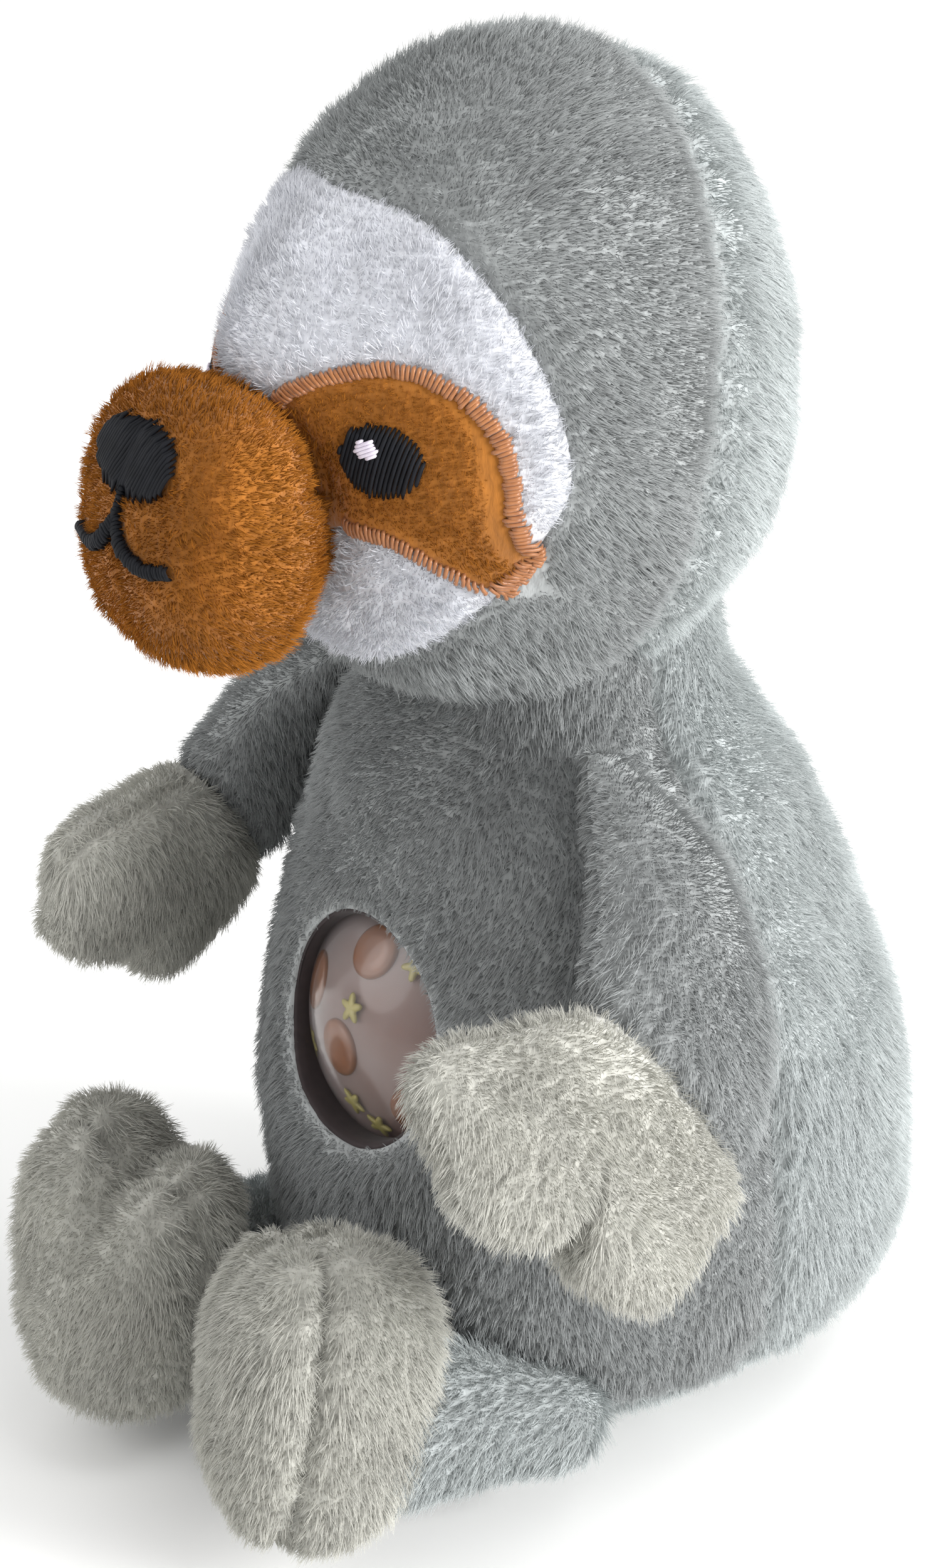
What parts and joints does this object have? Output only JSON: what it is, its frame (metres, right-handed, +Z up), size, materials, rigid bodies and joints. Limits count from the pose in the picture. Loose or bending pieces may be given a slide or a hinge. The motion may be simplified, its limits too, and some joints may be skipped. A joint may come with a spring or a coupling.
{
  "type": "stuffed sloth toy",
  "caption": "Seated plush sloth with an embroidered face, a stuffed muzzle, sewn limbs that swing, and a clear squeeze ball in a round belly window.",
  "frame": {"origin": "middle of the seat panel, on the surface the toy sits on", "axes": "+Z up, the toy faces -Y, +X is the toy's left side"},
  "size_m": [0.1119, 0.1144, 0.175],
  "materials": {
    "grey_plush": "short pile, combed",
    "light_grey_plush": "short pile, combed",
    "paw_plush": "short pile",
    "white_plush": "short pile",
    "brown_plush": "short pile",
    "polyester_fill": "loose fibre",
    "bean_fill": "granules in a cloth bag",
    "dark_lining": "smooth knit",
    "clear_skin": "clear and glossy",
    "clear_gel": "clear",
    "orange_glitter": "pearly",
    "yellow_glitter": "pearly",
    "black_thread": "satin thread",
    "white_thread": "satin thread",
    "copper_thread": "satin thread",
    "grey_thread": "doubled thread"
  },
  "bodies": {
    "torso": {"torso_front_cover": "grey_plush", "torso_back_cover": "light_grey_plush", "base_gusset": "light_grey_plush", "seat_panel": "light_grey_plush", "torso_stuffing": "polyester_fill", "bean_bag": "bean_fill", "window_lining": "dark_lining", "ball_pocket": "dark_lining", "shoulder_stitches_left": "grey_thread", "shoulder_stitches_right": "grey_thread"},
    "ball": {"ball_skin": "clear_skin", "ball_gel": "clear_gel", "orange_discs": "orange_glitter", "yellow_stars": "yellow_glitter"},
    "neck": {"neck_core": "polyester_fill"},
    "head": {"head_front_cover": "grey_plush", "head_back_cover": "light_grey_plush", "face_panel": "white_plush", "head_stuffing": "polyester_fill", "muzzle_cover": "brown_plush", "muzzle_stuffing": "polyester_fill", "nose": "black_thread", "mouth": "black_thread", "eye_patch_left": "brown_plush", "eye_patch_right": "brown_plush", "patch_border_left": "copper_thread", "patch_border_right": "copper_thread", "eye_left": "black_thread", "eye_right": "black_thread", "glint_left": "white_thread", "glint_right": "white_thread"},
    "arm_left": {"arm_cover_left": "grey_plush", "hand_cover_left": "paw_plush", "arm_stuffing_left": "polyester_fill", "hand_stuffing_left": "polyester_fill"},
    "arm_right": {"arm_cover_right": "grey_plush", "hand_cover_right": "paw_plush", "arm_stuffing_right": "polyester_fill", "hand_stuffing_right": "polyester_fill"},
    "leg_left": {"leg_cover_left": "light_grey_plush", "leg_stuffing_left": "polyester_fill", "hip_stitches_left": "grey_thread", "foot_sole_panel_left": "paw_plush", "foot_back_panel_left": "light_grey_plush", "foot_stuffing_left": "polyester_fill"},
    "leg_right": {"leg_cover_right": "light_grey_plush", "leg_stuffing_right": "polyester_fill", "hip_stitches_right": "grey_thread", "foot_sole_panel_right": "paw_plush", "foot_back_panel_right": "light_grey_plush", "foot_stuffing_right": "polyester_fill"}
  },
  "joints": [
    {"name": "neck_turn", "type": "hinge", "parent": "torso", "child": "neck", "pos_m": [0, -0.01, 0.098], "axis": [0, 0, 1], "range_deg": [-30, 30]},
    {"name": "neck_nod", "type": "hinge", "parent": "neck", "child": "head", "pos_m": [0, -0.01, 0.098], "axis": [1, 0, 0], "range_deg": [-6, 8]},
    {"name": "shoulder_left", "type": "hinge", "parent": "torso", "child": "arm_left", "pos_m": [0.03568, -0.017, 0.09412], "axis": [0.9397, 0, 0.342], "range_deg": [-35, 16]},
    {"name": "shoulder_right", "type": "hinge", "parent": "torso", "child": "arm_right", "pos_m": [-0.03488, -0.01707, 0.09412], "axis": [0.9077, 0.2432, -0.342], "range_deg": [-40, 6]},
    {"name": "hip_left", "type": "hinge", "parent": "torso", "child": "leg_left", "pos_m": [0.026, -0.028, 0.013], "axis": [1, 0, 0], "range_deg": [-1, 10]},
    {"name": "hip_right", "type": "hinge", "parent": "torso", "child": "leg_right", "pos_m": [-0.026, -0.028, 0.013], "axis": [1, 0, 0], "range_deg": [-7, 4]},
    {"name": "ball_squeeze", "type": "slide", "parent": "torso", "child": "ball", "axis": [0, -0.9877, 0.1564], "range_m": [0, 0.0012], "stiffness_N_per_m": 1500}
  ]
}
